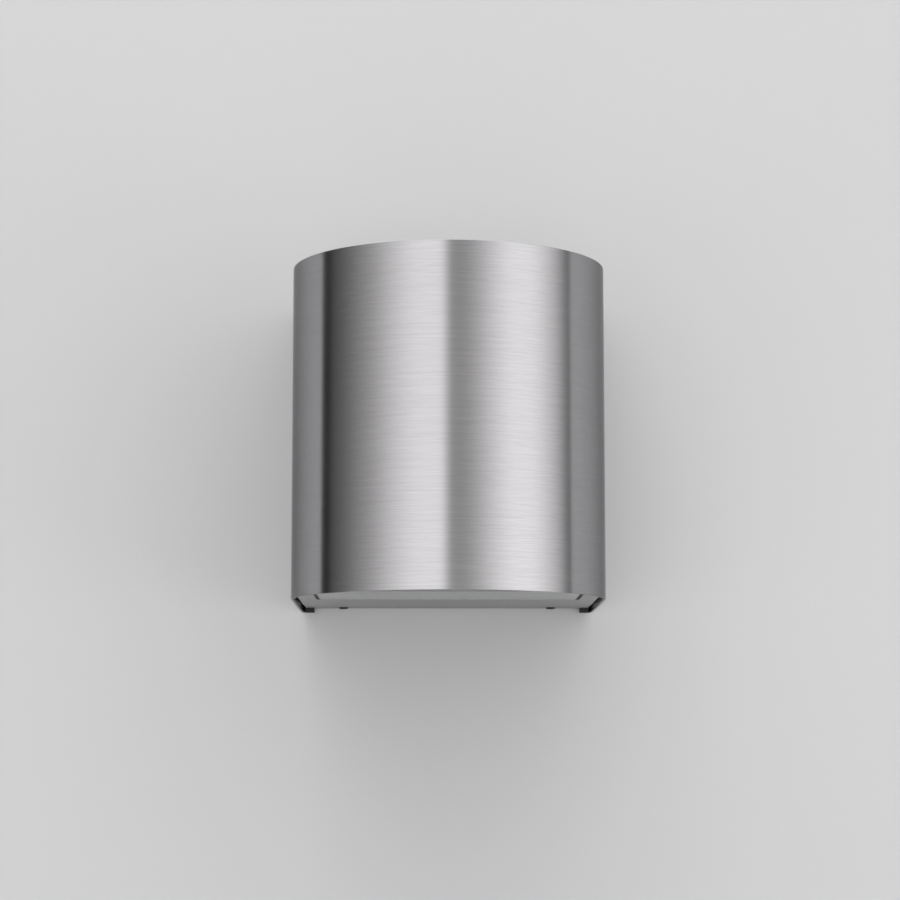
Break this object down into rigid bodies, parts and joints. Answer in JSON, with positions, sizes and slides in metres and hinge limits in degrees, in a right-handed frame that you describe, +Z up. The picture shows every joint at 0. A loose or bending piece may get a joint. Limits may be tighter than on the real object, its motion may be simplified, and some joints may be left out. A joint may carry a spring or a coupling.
{
  "type": "outdoor wall light",
  "caption": "Half-round tube wall light: rolled brushed-steel shade open to a glass window below, on a folded wall bracket with a screw-in lamp.",
  "frame": {"origin": "centre of the back face of the wall pad, on the wall, half way up the shade", "axes": "+Z up, +Y into the wall, +X to the right as seen from in front; the light faces -Y"},
  "size_m": [0.16, 0.188, 0.17],
  "materials": {
    "brushed_steel": "brushed stainless, fine horizontal grain",
    "plate_steel": "dull stainless",
    "window_glass": "clear toughened glass",
    "black_rubber": "matt rubber",
    "black_steel": "blackened screw",
    "zinc_steel": "bright zinc plate",
    "bright_aluminium": "bright anodised",
    "porcelain": "glazed porcelain",
    "brass": "bright brass",
    "nickel": "nickel plate",
    "white_plastic": "matt white",
    "black_insulator": "black glass",
    "opal_globe": "opal, satin",
    "grey_plastic": "natural polyamide",
    "wire_brown": "silicone insulation",
    "wire_blue": "silicone insulation",
    "wire_green_yellow": "silicone insulation"
  },
  "bodies": {
    "bracket": {"wall_pad": "black_rubber", "wall_bracket": "zinc_steel", "cable_grommet": "black_rubber", "lampholder_bridge": "zinc_steel", "bridge_screws": "zinc_steel", "reflector": "bright_aluminium", "lampholder_body": "porcelain", "lampholder_screws": "zinc_steel", "lampholder_shell": "brass", "lampholder_contact": "brass", "terminal_block": "grey_plastic", "terminal_barrels": "brass", "terminal_screws": "zinc_steel", "terminal_block_screws": "zinc_steel", "earth_tag": "nickel", "earth_washer": "zinc_steel", "earth_screw": "zinc_steel", "wire_live": "wire_brown", "wire_neutral": "wire_blue", "wire_earth": "wire_green_yellow"},
    "lamp": {"lamp_globe": "opal_globe", "lamp_body": "white_plastic", "lamp_cap": "nickel", "lamp_insulator": "black_insulator", "lamp_contact": "brass"},
    "shade": {"front_cover": "brushed_steel", "edge_trims": "black_rubber", "top_plate": "plate_steel", "bottom_plate": "plate_steel", "lens_glass": "window_glass", "lens_seal": "black_rubber", "clip_studs": "zinc_steel", "glass_clips": "zinc_steel", "clip_nuts": "zinc_steel", "shade_screws": "black_steel", "clamp_nuts": "zinc_steel"}
  },
  "joints": [
    {"name": "shade_removal", "type": "slide", "parent": "bracket", "child": "shade", "axis": [0, -1, 0], "range_m": [0, 0.2]},
    {"name": "lamp_removal", "type": "slide", "parent": "bracket", "child": "lamp", "axis": [0, -1, 0], "range_m": [0, 0.035]}
  ]
}
